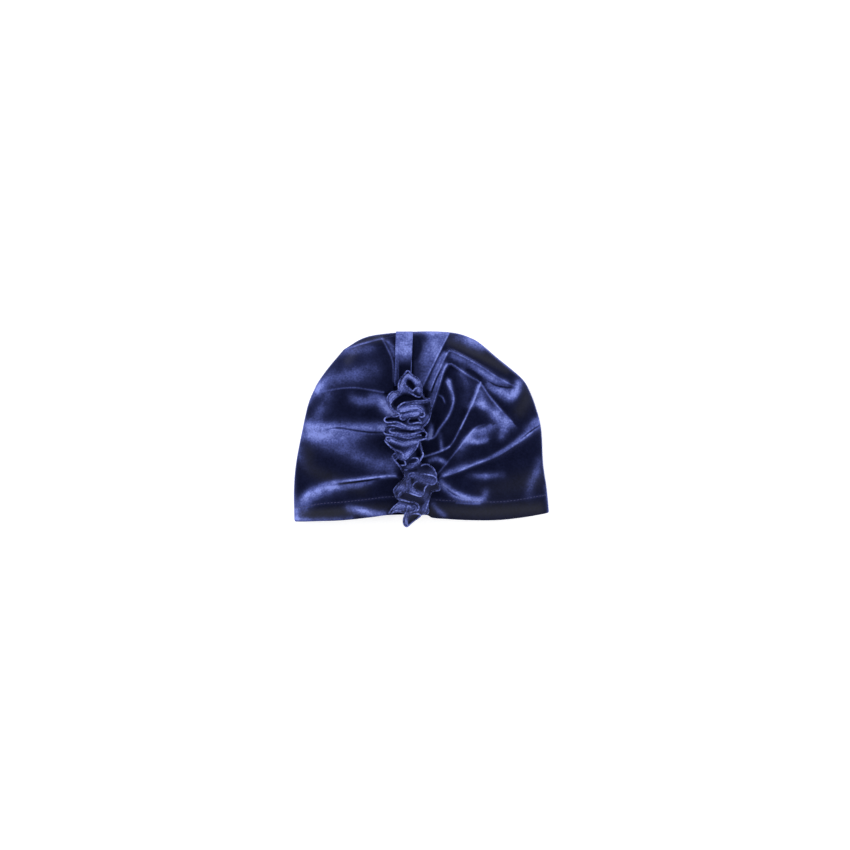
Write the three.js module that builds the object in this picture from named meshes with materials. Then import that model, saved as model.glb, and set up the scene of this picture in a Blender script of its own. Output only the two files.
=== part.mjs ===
// A velvet turban cap laid flat on its back, with a ruched band down the centre front.
// Millimetres. +X is the viewer's right, +Y runs from the hem to the crown, +Z points up
// out of the front of the cap. The origin is under the middle of the cap, on the surface
// it lies on.
//
// Every sewn layer is described in cloth coordinates (u, v, t): u runs across the cap from
// the left side fold (0) to the right side fold (1), v runs from the hem edge (0) to the
// crown (1), and t is the depth in millimetres below the outer face of the velvet.
import * as THREE from "three";

// Driving dimensions
const PLATEAU = 32; // height of the front face over the middle of the cap
const FOLD_HEIGHT = 10; // height of the side folds and of the crown edge
const SEAM_GAP = 0.3; // clearance between cloth pieces that meet at a seam
const VELVET = 1.8; // velvet with its knitted backing
const HEM_DEPTH = 4.2; // hem: outer layer, elastic and turned-up layer
const HEM_V = 0.092; // v of the hem's stitch line, about 17 mm above the edge
const ELASTIC = { width: 5, thick: 1.0 };
const LINING = [3.0, 3.8]; // depth of the lining's two faces
const THREAD = 0.6; // width and height of a row of stitches
const FOLD_BEAD = 0.0002; // reach in u, or in v, of the bead of stitches inside a fold
const BAND = { thick: 2.4, height: 17, base: PLATEAU + SEAM_GAP, centre: -14 };
const CHANNEL = 3.2; // half width of the centre front channel that holds the elastic
const CENTRE_TAPE = { v: [0.03, 0.78], depth: 0.1 }; // where the elastic lies in the channel
const TACK = { width: 8, length: 2, thick: 1, topY: 60, bottomY: -79 };
const SEAM_V = [HEM_V + 0.02, 0.97]; // from the hem's turn-up to the crown's curve
const RUFFLE_SEAM_V = [HEM_V + 0.02, 0.78];
const CROWN_SEAM_U = [0.03, 0.97];
const STRIP = { halfWidth: 8.5, thick: 1.4, standOff: 1.2, lowV: 0.84, highV: 0.97, centre: -17.5 };

// The outline of the cap, seen from above, as its four edges
const corner = {
  hemLeft: [-126.8, -92],
  hemRight: [127.2, -85],
  crownLeft: [-77.5, 78.5],
  crownRight: [74.5, 71.5],
};
const edge = (points) => new THREE.SplineCurve(points.map(([x, y]) => new THREE.Vector2(x, y)));
const hemEdge = edge([
  corner.hemLeft,
  [-80, -91],
  [-32, -86.5],
  [8, -86],
  [48, -90],
  [90, -90],
  corner.hemRight,
]);
const leftEdge = edge([
  corner.hemLeft,
  [-126.8, -45],
  [-119.5, -2],
  [-108.5, 36],
  [-96.5, 56],
  corner.crownLeft,
]);
const rightEdge = edge([
  corner.hemRight,
  [122, -45],
  [119, -8],
  [113.5, 22],
  [100.5, 50],
  corner.crownRight,
]);
const crownEdge = edge([
  corner.crownLeft,
  [-57.5, 90.5],
  [-37.5, 94.5],
  [0.5, 97],
  [30.5, 96],
  [53.5, 88.5],
  corner.crownRight,
]);
const WIDTH = corner.hemRight[0] - corner.hemLeft[0];
const HEM_Y = -88;
const LENGTH = 184; // from the hem to the crown

const { lerp } = THREE.MathUtils;

// A point of the outline's patch, blended between its four edges
function patch(u, v) {
  const across = (k) =>
    lerp(hemEdge.getPointAt(u)[k], crownEdge.getPointAt(u)[k], v) +
    lerp(leftEdge.getPointAt(v)[k], rightEdge.getPointAt(v)[k], u);
  const corners = (k) => {
    const i = k === "x" ? 0 : 1;
    return lerp(
      lerp(corner.hemLeft[i], corner.hemRight[i], u),
      lerp(corner.crownLeft[i], corner.crownRight[i], u),
      v,
    );
  };
  return [across("x") - corners("x"), across("y") - corners("y")];
}

// How far a layer has risen from the fold to its middle level: 0 at the folds, 1 inside
function rise(u, v, fullness) {
  const acrossShare = Math.sqrt(Math.max(0, 1 - Math.abs(2 * u - 1) ** 2.6));
  const alongShare = Math.sqrt(Math.max(0, 1 - v ** 5));
  return Math.min(1, fullness * acrossShare * alongShare);
}

// The place of a cloth coordinate on the front or the back of the cap. Deeper layers nest
// inside the outer one: they are drawn in from the sides and from the crown by their depth.
function place(side, u, v, t) {
  const [outerX, outerY] = patch(u, v);
  const x = outerX * (1 - (2 * t) / WIDTH);
  const y = HEM_Y + (outerY - HEM_Y) * (1 - t / LENGTH);
  if (side === "front") {
    const low = FOLD_HEIGHT + SEAM_GAP / 2;
    return new THREE.Vector3(x, y, low + (PLATEAU - t - low) * rise(u, v, 1.25));
  }
  const high = FOLD_HEIGHT - SEAM_GAP / 2;
  return new THREE.Vector3(x, y, high - (high - t) * rise(u, v, 1.7));
}

// u of the place that is x millimetres right of the origin
const uAt = (x) => (x - corner.hemLeft[0]) / WIDTH;

// Stations that every layer shares, so that the layers' facets stay parallel. They crowd
// towards the side folds and towards the crown, where the cloth turns over.
const ACROSS_STEPS = 26;
const ALONG_STEPS = 14;
const LEAST_STEP = 0.002;
const steps = (count, spread) => Array.from({ length: count + 1 }, (_, i) => spread(i / count));
const acrossStations = steps(ACROSS_STEPS, (w) => (1 - Math.cos(Math.PI * w)) / 2);
const alongStations = steps(ALONG_STEPS, (w) => 1 - (1 - w) ** 1.7);

// The given values, with the shared stations that lie between the first and the last
function withStations(stations, values) {
  const clear = (s) => values.every((value) => Math.abs(s - value) > LEAST_STEP);
  const inside = stations.filter((s) => s > values[0] && s < values.at(-1) && clear(s));
  return [...values, ...inside].sort((p, q) => p - q);
}

// A solid made of the cells between stations in u, v and t that filled(v, t) says are cloth.
// Each quad lists its corners as steps from its cell's lowest corner in u, v and t.
const cellSides = [
  { towards: [-1, 0, 0], quad: [[0, 0, 0], [0, 0, 1], [0, 1, 1], [0, 1, 0]] },
  { towards: [1, 0, 0], quad: [[1, 0, 0], [1, 1, 0], [1, 1, 1], [1, 0, 1]] },
  { towards: [0, -1, 0], quad: [[0, 0, 0], [1, 0, 0], [1, 0, 1], [0, 0, 1]] },
  { towards: [0, 1, 0], quad: [[0, 1, 0], [0, 1, 1], [1, 1, 1], [1, 1, 0]] },
  { towards: [0, 0, -1], quad: [[0, 0, 0], [0, 1, 0], [1, 1, 0], [1, 0, 0]] },
  { towards: [0, 0, 1], quad: [[0, 0, 1], [1, 0, 1], [1, 1, 1], [0, 1, 1]] },
];

function sewnPiece(side, uEnds, vValues, tValues, filled = () => true) {
  const us = withStations(acrossStations, uEnds);
  const vs = withStations(alongStations, vValues);
  const middle = (values, i) => (values[i] + values[i + 1]) / 2;
  const isCloth = (i, j, k) =>
    i >= 0 && j >= 0 && k >= 0 && i < us.length - 1 && j < vs.length - 1 && k < tValues.length - 1 &&
    filled(middle(vs, j), middle(tValues, k));
  const at = (i, j, k) => place(side, us[i], vs[j], tValues[k]).toArray();
  const positions = [];
  for (let i = 0; i < us.length - 1; i++)
    for (let j = 0; j < vs.length - 1; j++)
      for (let k = 0; k < tValues.length - 1; k++) {
        if (!isCloth(i, j, k)) continue;
        for (const { towards, quad } of cellSides) {
          if (isCloth(i + towards[0], j + towards[1], k + towards[2])) continue;
          // u, v and t are left-handed on the front, where t runs downwards
          const order = side === "front" ? [...quad].reverse() : [...quad];
          // a quad is split towards the nearer end of the crown, where the outline is round
          if ((order[0][0] === order[0][1]) !== us[i] > 0.5) order.push(order.shift());
          const [a, b, c, d] = order.map(([di, dj, dk]) => at(i + di, j + dj, k + dk));
          positions.push(...a, ...b, ...c, ...a, ...c, ...d);
        }
      }
  const geometry = new THREE.BufferGeometry();
  return geometry.setAttribute("position", new THREE.Float32BufferAttribute(positions, 3));
}

// An outer panel: one layer of velvet with a turned-up hem, and a slot for the elastic in it
const SLOT = { v: [0.016, 0.079], t: [1.2, 3.0] };
const between = (value, [low, high]) => value > low && value < high;

function panel(side, uEnds) {
  const filled = (v, t) => {
    const inSlot = between(v, SLOT.v) && between(t, SLOT.t);
    return !inSlot && (t < VELVET || v < HEM_V);
  };
  const vValues = [0, ...SLOT.v, HEM_V, 1];
  const tValues = [0, SLOT.t[0], VELVET, SLOT.t[1], HEM_DEPTH];
  return sewnPiece(side, uEnds, vValues, tValues, filled);
}

// A flat tape that runs all the way round the hem, inside its slot
function hemTape() {
  const corners = [
    [0.022, 1.6],
    [0.073, 1.6],
    [0.073, 2.6],
    [0.022, 2.6],
  ];
  const turns = [
    ...acrossStations.slice(0, -1).map((u) => ["front", u]),
    ...acrossStations.slice(1).reverse().map((u) => ["back", u]),
  ];
  const section = ([side, u]) => corners.flatMap(([v, t]) => place(side, u, v, t).toArray());
  const positions = turns.flatMap(section);
  const index = [];
  turns.forEach((_, i) => {
    const next = (i + 1) % turns.length;
    for (let k = 0; k < corners.length; k++) {
      const l = (k + 1) % corners.length;
      const [a, b, c, d] = [i * 4 + k, next * 4 + k, next * 4 + l, i * 4 + l];
      index.push(a, b, c, a, c, d);
    }
  });
  const geometry = new THREE.BufferGeometry();
  geometry.setAttribute("position", new THREE.Float32BufferAttribute(positions, 3));
  geometry.setIndex(index);
  return geometry;
}

// The ruched band: a doubled strip on edge, gathered into turns that reach out to the left
// and the right of the centre seam. Each turn is the [x, y] that it reaches.
const bandTurns = [
  [-2, 47],
  [-33, 33],
  [4, 27],
  [-25, 20.5],
  [2, 14.5],
  [-37, 8.5],
  [0, 2.5],
  [-37, -3.5],
  [4, -9],
  [-38, -15],
  [-1, -21.5],
  [-29, -29],
  [2, -35.5],
  [-18, -43],
  [14, -50],
  [-28, -59],
  [9, -66],
  [-32, -79],
  [3, -83],
];
const bandStart = [-15, 55];
const bandEnd = [-16, -96.2];
const TURN_RADIUS = 2.2;

function bandRoute() {
  const route = new THREE.Path().moveTo(...bandStart);
  bandTurns.forEach(([x, y], i) => {
    const toRight = i % 2 === 0;
    const middle = toRight ? x - TURN_RADIUS : x + TURN_RADIUS;
    route.lineTo(middle, y + TURN_RADIUS);
    route.absarc(middle, y, TURN_RADIUS, Math.PI / 2, toRight ? -Math.PI / 2 : 1.5 * Math.PI, toRight);
  });
  return route.lineTo(...bandEnd);
}

function ruchedBand(arcDivisions) {
  const route = bandRoute().getPoints(arcDivisions);
  const left = [];
  const right = [];
  route.forEach((p, i) => {
    const before = route[Math.max(i - 1, 0)];
    const after = route[Math.min(i + 1, route.length - 1)];
    const along = after.clone().sub(before).normalize();
    const out = new THREE.Vector2(-along.y, along.x).multiplyScalar(BAND.thick / 2);
    left.push(p.clone().add(out));
    right.unshift(p.clone().sub(out));
  });
  const outline = new THREE.Shape([...left, ...right]);
  const upright = { depth: BAND.height, bevelEnabled: false };
  return new THREE.ExtrudeGeometry(outline, upright).translate(0, 0, BAND.base);
}

// A short block of dense stitches that holds an end of the ruched band
const barTack = (y, z) =>
  new THREE.BoxGeometry(TACK.width, TACK.length, TACK.thick).translate(BAND.centre, y, z);

const velvet = new THREE.MeshStandardMaterial({ color: 0x232a66, roughness: 0.85, metalness: 0 });
const liningKnit = new THREE.MeshStandardMaterial({ color: 0x141a3a, roughness: 0.8, metalness: 0 });
const elasticTape = new THREE.MeshStandardMaterial({ color: 0x15182c, roughness: 0.7, metalness: 0 });
const thread = new THREE.MeshStandardMaterial({ color: 0x2a3170, roughness: 0.55, metalness: 0 });

const cap = new THREE.Group();

function add(name, geometry, material) {
  const mesh = new THREE.Mesh(geometry, material);
  mesh.name = name;
  cap.add(mesh);
}

const leftOfChannel = uAt(BAND.centre - CHANNEL);
const rightOfChannel = uAt(BAND.centre + CHANNEL);
add("left_front_panel", panel("front", [0, leftOfChannel]), velvet);
add("right_front_panel", panel("front", [rightOfChannel, 1]), velvet);
add("back_panel", panel("back", [0, 1]), velvet);

const stripEnds = [uAt(STRIP.centre - STRIP.halfWidth), uAt(STRIP.centre + STRIP.halfWidth)];
const stripDepths = [-STRIP.standOff - STRIP.thick, -STRIP.standOff];
add("crown_strip", sewnPiece("front", stripEnds, [STRIP.lowV, STRIP.highV], stripDepths), velvet);
add("ruffle_band", ruchedBand(3), velvet);

const liningEnds = [HEM_V + 0.004, 1];
add("front_lining", sewnPiece("front", [0, 1], liningEnds, LINING), liningKnit);
add("back_lining", sewnPiece("back", [0, 1], liningEnds, LINING), liningKnit);

const centreEnds = [uAt(BAND.centre - ELASTIC.width / 2), uAt(BAND.centre + ELASTIC.width / 2)];
const centreDepths = [CENTRE_TAPE.depth, CENTRE_TAPE.depth + ELASTIC.thick];
add("centre_elastic", sewnPiece("front", centreEnds, CENTRE_TAPE.v, centreDepths), elasticTape);
add("hem_elastic", hemTape(), elasticTape);

// Threads are drawn as thin beads: a row of stitches across the cap, or along it
const THREAD_V = THREAD / LENGTH;
const beadAcross = (side, uEnds, v, tFrom) =>
  sewnPiece(side, uEnds, [v, v + THREAD_V], [tFrom, tFrom + THREAD]);
const beadAlong = (side, uEnds, vEnds, tFrom) => sewnPiece(side, uEnds, vEnds, [tFrom, tFrom + THREAD]);

// The front rows stop either side of the ruffle and just short of the side folds. The back
// row lies on the turned-up layer, inside the cap.
const onTop = -SEAM_GAP - THREAD;
const foldMargin = 0.006;
const ruffleSides = { left: uAt(-42), right: uAt(19) };
const leftRow = [foldMargin, ruffleSides.left];
const rightRow = [ruffleSides.right, 1 - foldMargin];
const backRow = { u: [0.06, 0.94], v: HEM_V - 0.01, depth: HEM_DEPTH + SEAM_GAP };
add("left_hem_topstitch", beadAcross("front", leftRow, HEM_V, onTop), thread);
add("right_hem_topstitch", beadAcross("front", rightRow, HEM_V, onTop), thread);
add("back_hem_topstitch", beadAcross("back", backRow.u, backRow.v, backRow.depth), thread);

// The seams between the front and the back lie inside the folds, under the lining
const insideVelvet = VELVET + SEAM_GAP;
const lowBead = [0, FOLD_BEAD];
const highBead = [1 - FOLD_BEAD, 1];
add("left_side_seam_thread", beadAlong("front", lowBead, SEAM_V, insideVelvet), thread);
add("right_side_seam_thread", beadAlong("front", highBead, SEAM_V, insideVelvet), thread);
add("crown_seam_thread", beadAlong("front", CROWN_SEAM_U, highBead, insideVelvet), thread);

const besideChannel = CHANNEL + 1.5;
const seamAtX = (x) => beadAlong("front", [uAt(x), uAt(x + THREAD)], RUFFLE_SEAM_V, insideVelvet);
add("left_ruffle_seam_thread", seamAtX(BAND.centre - besideChannel - THREAD), thread);
add("right_ruffle_seam_thread", seamAtX(BAND.centre + besideChannel), thread);

const tackAbove = PLATEAU + SEAM_GAP + TACK.thick / 2;
const tackBelow = PLATEAU - HEM_DEPTH - SEAM_GAP - TACK.thick / 2;
add("ruffle_top_tack", barTack(TACK.topY, tackAbove), thread);
add("ruffle_bottom_tack", barTack(TACK.bottomY, tackBelow), thread);

export default cap;
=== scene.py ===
"""Velvet turban cap laid flat on its back, with a ruched band down the centre front.

Lengths below are millimetres in the row's frame and turn into metres where a mesh is made:
+X is the viewer's right, +Y runs from the hem to the crown and +Z comes up out of the front.
"""

import math

import bpy
import numpy as np
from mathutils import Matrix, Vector
from mathutils.bvhtree import BVHTree


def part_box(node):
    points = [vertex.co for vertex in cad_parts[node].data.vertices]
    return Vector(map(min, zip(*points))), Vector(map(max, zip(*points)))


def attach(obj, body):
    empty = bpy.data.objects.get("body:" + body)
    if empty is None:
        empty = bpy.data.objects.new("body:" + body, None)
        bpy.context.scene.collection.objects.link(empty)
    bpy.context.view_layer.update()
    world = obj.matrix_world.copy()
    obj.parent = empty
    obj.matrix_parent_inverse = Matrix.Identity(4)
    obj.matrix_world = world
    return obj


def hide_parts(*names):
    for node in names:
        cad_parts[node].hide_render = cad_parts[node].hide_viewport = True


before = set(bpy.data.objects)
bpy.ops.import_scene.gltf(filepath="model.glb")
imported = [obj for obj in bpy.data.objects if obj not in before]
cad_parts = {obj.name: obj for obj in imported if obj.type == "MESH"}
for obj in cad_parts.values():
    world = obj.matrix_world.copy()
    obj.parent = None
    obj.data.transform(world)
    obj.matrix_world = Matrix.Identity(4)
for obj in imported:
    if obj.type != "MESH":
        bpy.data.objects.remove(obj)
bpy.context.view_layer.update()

MM = 0.001
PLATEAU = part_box("left_front_panel")[1].z / MM  # top of the smooth front
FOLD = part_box("back_panel")[1].z / MM  # height of the side folds and of the crown edge
LENGTH = 184.0  # from the hem to the crown edge, near the middle
HEM_Y = -88.0  # about the hem's mean y


# ---------------------------------------------------------------- camera, light and floor


def make_camera():
    """Looks straight down, with 850 mm across the picture at 15 mm above the floor."""
    lens, sensor, across = 85.0, 36.0, 0.85
    data = bpy.data.cameras.new("camera")
    data.lens = lens
    data.sensor_width = sensor
    camera = bpy.data.objects.new("camera", data)
    camera.location = (0.003, 0.0035, 0.015 + across * lens / sensor)
    bpy.context.scene.collection.objects.link(camera)
    bpy.context.scene.camera = camera


def make_area_light(name, place, size, watts):
    data = bpy.data.lights.new(name, "AREA")
    data.shape = "DISK"
    data.size = size
    data.energy = watts
    light = bpy.data.objects.new(name, data)
    light.location = place
    aim = Vector((0, 0, 0.02)) - Vector(place)
    light.rotation_euler = aim.to_track_quat("-Z", "Y").to_euler()
    bpy.context.scene.collection.objects.link(light)


def make_studio():
    world = bpy.data.worlds.new("studio")
    world.use_nodes = True
    background = world.node_tree.nodes["Background"]
    background.inputs["Color"].default_value = (1.0, 1.0, 1.0, 1)
    background.inputs["Strength"].default_value = 0.75
    bpy.context.scene.world = world
    make_area_light("key", (-0.9, 0.8, 1.1), 0.8, 14)
    make_area_light("fill", (1.1, -0.5, 0.9), 0.9, 8)
    bpy.context.scene.view_settings.view_transform = "Standard"

    mesh = bpy.data.meshes.new("floor")
    half = 6.0
    corners = [(-half, -half, 0), (half, -half, 0), (half, half, 0), (-half, half, 0)]
    mesh.from_pydata(corners, [], [(0, 1, 2, 3)])
    floor = bpy.data.objects.new("floor", mesh)
    bpy.context.scene.collection.objects.link(floor)
    paper = Nodes("pale_paper")
    paper.set(Base_Color=(0.88, 0.88, 0.88, 1), Roughness=0.9, Specular_IOR_Level=0.1)
    paper.set(Emission_Color=(1, 1, 1, 1), Emission_Strength=0.42)
    mesh.materials.append(paper.material)


# ---------------------------------------------------------------- materials


class Nodes:
    """A little help for building a material's node tree."""

    def __init__(self, name):
        self.material = bpy.data.materials.new(name)
        self.material.use_nodes = True
        self.tree = self.material.node_tree
        self.shader = self.tree.nodes["Principled BSDF"]
        self.place = self.tree.nodes.new("ShaderNodeTexCoord").outputs["Object"]

    def fill(self, node, values):
        """Sets each input that values names or numbers, or joins it to an output."""
        for key, value in values.items():
            socket = node.inputs[key.replace("_", " ") if isinstance(key, str) else key]
            if isinstance(value, bpy.types.NodeSocket):
                self.tree.links.new(value, socket)
            else:
                socket.default_value = value

    def set(self, **values):
        self.fill(self.shader, values)

    def add(self, kind, output, values, **settings):
        """The output of a new node, with its settings and the values of its inputs."""
        node = self.tree.nodes.new("ShaderNode" + kind)
        for name, value in settings.items():
            setattr(node, name, value)
        self.fill(node, values)
        return node.outputs[output]

    def noise(self, scale, detail):
        return self.add("TexNoise", "Fac", {"Vector": self.place, "Scale": scale, "Detail": detail})

    def wave(self, scale, axis, distortion):
        values = {"Vector": self.place, "Scale": scale, "Distortion": distortion}
        return self.add("TexWave", "Fac", values, bands_direction=axis)

    def attribute(self, name):
        return self.add("Attribute", "Fac", {}, attribute_name=name)

    def math(self, kind, a, b, clamp=False):
        return self.add("Math", "Value", {0: a, 1: b}, operation=kind, use_clamp=clamp)

    def spread(self, value, low, high):
        """A value between 0 and 1, spread over low to high."""
        return self.add("MapRange", "Result", {"Value": value, "To Min": low, "To Max": high})

    def colours(self, share, *stops):
        """A colour that runs through stops, each (share, colour)."""
        node = self.tree.nodes.new("ShaderNodeValToRGB")
        ramp = node.color_ramp
        while len(ramp.elements) < len(stops):
            ramp.elements.new(0.5)
        for element, (position, colour) in zip(ramp.elements, stops):
            element.position = position
            element.color = (*colour, 1)
        self.fill(node, {"Fac": share})
        return node.outputs["Color"]

    def added(self, colour, share, extra):
        """colour with share of the colour extra added to it."""
        values = {0: share, 6: colour, 7: (*extra, 1)}
        return self.add("Mix", 2, values, data_type="RGBA", blend_type="ADD")

    def bump(self, height, strength, distance):
        values = {"Height": height, "Strength": strength, "Distance": distance}
        self.set(Normal=self.add("Bump", "Normal", values))


def velvet_material():
    """Navy velvet: nearly black where the pile stands up, blue where it has been brushed over and where
    highlights on folds, crests and slopes are painted into the colour; darker where shade in creases and
    hollows is painted in.
    """
    n = Nodes("velvet")
    mottle = n.spread(n.noise(95, 4), 0.35, 1.65)
    grain = n.spread(n.noise(560, 4), -0.5, 0.5)
    # The nap attribute holds brushed nap together with painted highlights and painted shade.
    nap = n.math("MULTIPLY", n.attribute("nap"), mottle)
    nap = n.math("ADD", nap, n.math("MULTIPLY", grain, n.math("ADD", nap, 0.06)), clamp=True)
    colour = n.colours(
        nap,
        (0.0, (0.0014, 0.0018, 0.0070)),
        (0.25, (0.0150, 0.0190, 0.0620)),
        (0.6, (0.0640, 0.0820, 0.2620)),
        (1.0, (0.1950, 0.2400, 0.6100)),
    )
    n.set(Base_Color=n.added(colour, n.attribute("grey"), (0.0140, 0.0138, 0.0100)))
    n.set(Roughness=0.9, Specular_IOR_Level=0.0)
    n.set(Sheen_Weight=1.0, Sheen_Roughness=0.32, Sheen_Tint=(0.30, 0.36, 1.0, 1))
    pile = n.math("ADD", n.noise(2600, 2), n.math("MULTIPLY", n.noise(700, 2), 0.8))
    n.bump(pile, 0.45, 0.0004)
    return n.material


def lining_material():
    """Fine navy jersey: rows of small knit loops."""
    n = Nodes("lining_jersey")
    rows = n.math("ADD", n.wave(420, "Y", 1.5), n.wave(640, "X", 2.0))
    shade = n.spread(n.noise(60, 2), 0.0, 1.0)
    colour = n.colours(shade, (0.3, (0.010, 0.013, 0.055)), (0.8, (0.020, 0.026, 0.100)))
    n.set(Base_Color=colour, Roughness=0.85, Specular_IOR_Level=0.05)
    n.set(Sheen_Weight=0.25, Sheen_Roughness=0.5, Sheen_Tint=(0.35, 0.40, 1.0, 1))
    n.bump(rows, 0.5, 0.0003)
    return n.material


def elastic_material():
    """Woven elastic: ribs along the tape."""
    n = Nodes("woven_elastic")
    ribs = n.wave(900, "Y", 0.3)
    colour = n.colours(ribs, (0.2, (0.006, 0.007, 0.020)), (0.8, (0.020, 0.022, 0.050)))
    n.set(Base_Color=colour, Roughness=0.7, Specular_IOR_Level=0.3)
    n.bump(ribs, 0.6, 0.0003)
    return n.material


def thread_material():
    """Polyester sewing thread, twisted."""
    n = Nodes("sewing_thread")
    twist = n.wave(1800, "DIAGONAL", 0.5)
    colour = n.colours(twist, (0.2, (0.018, 0.018, 0.055)), (0.8, (0.050, 0.050, 0.150)))
    n.set(Base_Color=colour, Roughness=0.5, Specular_IOR_Level=0.35)
    n.bump(twist, 0.4, 0.0001)
    return n.material


# ---------------------------------------------------------------- curves and grids


def travelled(line):
    """The distance along a line at each of its points."""
    return np.concatenate([[0], np.cumsum(np.linalg.norm(np.diff(line, axis=0), axis=1))])


def spline(points, count):
    """count evenly spaced points on a Catmull-Rom curve through points."""
    p = np.array(points, float)
    p = np.vstack([2 * p[0] - p[1], p, 2 * p[-1] - p[-2]])
    t = np.linspace(0, 1, 16, endpoint=False)[:, None]
    fine = []
    for a, b, c, d in zip(p, p[1:], p[2:], p[3:]):
        curve = 2 * b + (c - a) * t + (2 * a - 5 * b + 4 * c - d) * t**2
        fine.append((curve + (3 * b - a - 3 * c + d) * t**3) / 2)
    fine = np.vstack([*fine, p[-2]])
    along = travelled(fine)
    wanted = np.linspace(0, along[-1], count)
    return np.column_stack([np.interp(wanted, along, fine[:, k]) for k in range(fine.shape[1])])


def smooth(value, low, high):
    """0 below low, 1 above high and a smooth step between."""
    t = np.clip((value - low) / (high - low), 0, 1)
    return t * t * (3 - 2 * t)


def add_object(name, vertices, faces, material, **shades):
    """A smooth-shaded mesh from vertices in millimetres. Each shade holds one value for each vertex."""
    mesh = bpy.data.meshes.new(name)
    mesh.from_pydata((np.asarray(vertices) * MM).tolist(), [], faces)
    mesh.update()
    mesh.polygons.foreach_set("use_smooth", [True] * len(mesh.polygons))
    mesh.materials.append(material)
    for shade, values in shades.items():
        attribute = mesh.attributes.new(shade, "FLOAT", "POINT")
        attribute.data.foreach_set("value", np.asarray(values, np.float32))
    piece = bpy.data.objects.new(name, mesh)
    bpy.context.scene.collection.objects.link(piece)
    return piece


def grid_faces(rows, columns, closed_columns=False):
    """Quads of a grid whose vertices run along each row in turn."""
    i = np.arange(rows - 1)[:, None]
    j = np.arange(columns if closed_columns else columns - 1)[None, :]
    k = (j + 1) % columns
    quads = [i * columns + j, i * columns + k, (i + 1) * columns + k, (i + 1) * columns + j]
    return np.stack([np.broadcast_to(q, quads[0].shape) for q in quads], -1).reshape(-1, 4).tolist()


def tube_faces(count, sides):
    """Faces of a tube of count rings, with both ends closed."""
    ends = [list(range(sides))[::-1], [(count - 1) * sides + k for k in range(sides)]]
    return grid_faces(count, sides, closed_columns=True) + ends


def thicken(piece, thickness, offset):
    """Gives a sheet its thickness, below its face at an offset of -1 and half each way at 0."""
    shell = piece.modifiers.new("cloth_thickness", "SOLIDIFY")
    shell.thickness = thickness * MM
    shell.offset = offset
    return piece


# ---------------------------------------------------------------- the cap's outline

HEM_EDGE = [
    (-128, -93.4), (-105, -92.4), (-80, -91.4), (-52, -88.4), (-32, -86), (2, -85.8), (10.5, -88.8),
    (24, -90), (48, -91.2), (75, -91.2), (100, -88.8), (127.4, -84.6),
]
LEFT_EDGE = [
    (-128, -93.4), (-128.4, -60), (-126, -33), (-119.6, 0), (-114.2, 24), (-107.6, 40), (-102.8, 48.6),
    (-93, 62), (-78.4, 79.2),
]
RIGHT_EDGE = [
    (127.4, -84.6), (125, -60), (121.4, -35), (119.4, 0), (113.2, 24), (106.8, 40), (101.6, 48.4), (92.6, 57),
    (74.5, 71.5),
]
CROWN_EDGE = [
    (-78.4, 79.2), (-59, 90.6), (-38, 95), (-6, 97.2), (18, 97.2), (35, 95.4), (47, 91.6), (57.5, 86),
    (74.5, 71.5),
]
WIDTH = HEM_EDGE[-1][0] - HEM_EDGE[0][0]
FINE = 601  # points on each smoothed edge
HEM, CROWN, LEFT, RIGHT = (spline(edge, FINE) for edge in (HEM_EDGE, CROWN_EDGE, LEFT_EDGE, RIGHT_EDGE))
STOPS = np.linspace(0, 1, FINE)


def u_at(x):
    """u of a place on the hem, x across."""
    return (x - HEM_EDGE[0][0]) / WIDTH


def patch(u, v):
    """x and y of cloth coordinates: u across from the left fold, v from the hem to the crown."""
    out = []
    for k in (0, 1):
        hem, crown = (np.interp(u, STOPS, edge[:, k]) for edge in (HEM, CROWN))
        left, right = (np.interp(v, STOPS, edge[:, k]) for edge in (LEFT, RIGHT))
        bottom = HEM[0, k] * (1 - u) + HEM[-1, k] * u
        top = CROWN[0, k] * (1 - u) + CROWN[-1, k] * u
        out.append(hem * (1 - v) + crown * v + left * (1 - u) + right * u - bottom * (1 - v) - top * v)
    return out


def rise(u, v, fullness):
    """0 at the side folds and the crown edge, running smoothly up to nearly 1 inside."""
    across = np.sqrt(np.clip(1 - np.abs(2 * u - 1) ** 2.6, 0, 1))
    along = np.sqrt(np.clip(1 - np.clip(v, 0, 1) ** 5, 0, 1))
    share = fullness * across * along
    return share / (1 + share**5) ** 0.2


# ---------------------------------------------------------------- folds, nap, and painted highlights and shade


def off_segment(a, b, x, y):
    """Each point's share of the way from a to b, and its x and y from its nearest place there."""
    d = b - a
    t = np.clip(((x - a[0]) * d[0] + (y - a[1]) * d[1]) / (d @ d), 0, 1)
    return t, x - a[0] - t * d[0], y - a[1] - t * d[1]


def nearest(path, x, y):
    """Each point's distance from path, positive on the left of its travel, and its share of the way."""
    reach = np.linalg.norm(np.subtract(path[0], path[-1])[:2])
    line = spline(np.asarray(path)[:, :2], 12 + int(reach / 5))
    start = travelled(line)
    best = np.full(x.shape, 1e9)
    side = np.ones(x.shape)
    along = np.zeros(x.shape)
    for i, (a, b) in enumerate(zip(line, line[1:])):
        t, away_x, away_y = off_segment(a, b, x, y)
        distance = np.hypot(away_x, away_y)
        closer = distance < best
        best = np.where(closer, distance, best)
        turn = (b[0] - a[0]) * away_y - (b[1] - a[1]) * away_x
        side = np.where(closer, np.where(turn >= 0, 1.0, -1.0), side)
        along = np.where(closer, (start[i] * (1 - t) + start[i + 1] * t) / start[-1], along)
    return best * side, along


def ridge_profile(path, x, y, left, right, levels, sharp=2.0):
    """A ridge along path, of the heights levels and falling off to its sides, and the distance to path."""
    distance, along = nearest(path, x, y)
    stops = np.linspace(0, 1, len(levels))
    level = np.interp(along, stops, levels)
    lefts, rights = (np.interp(along, stops, np.broadcast_to(w, len(levels))) for w in (left, right))
    reach = np.abs(distance) / np.where(distance > 0, lefts, rights)
    return level * np.exp(-(reach**sharp)), distance


CREST_LIGHT_HALF_WIDTH = 0.9  # half the width of the highlight painted along a fold's crest
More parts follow.
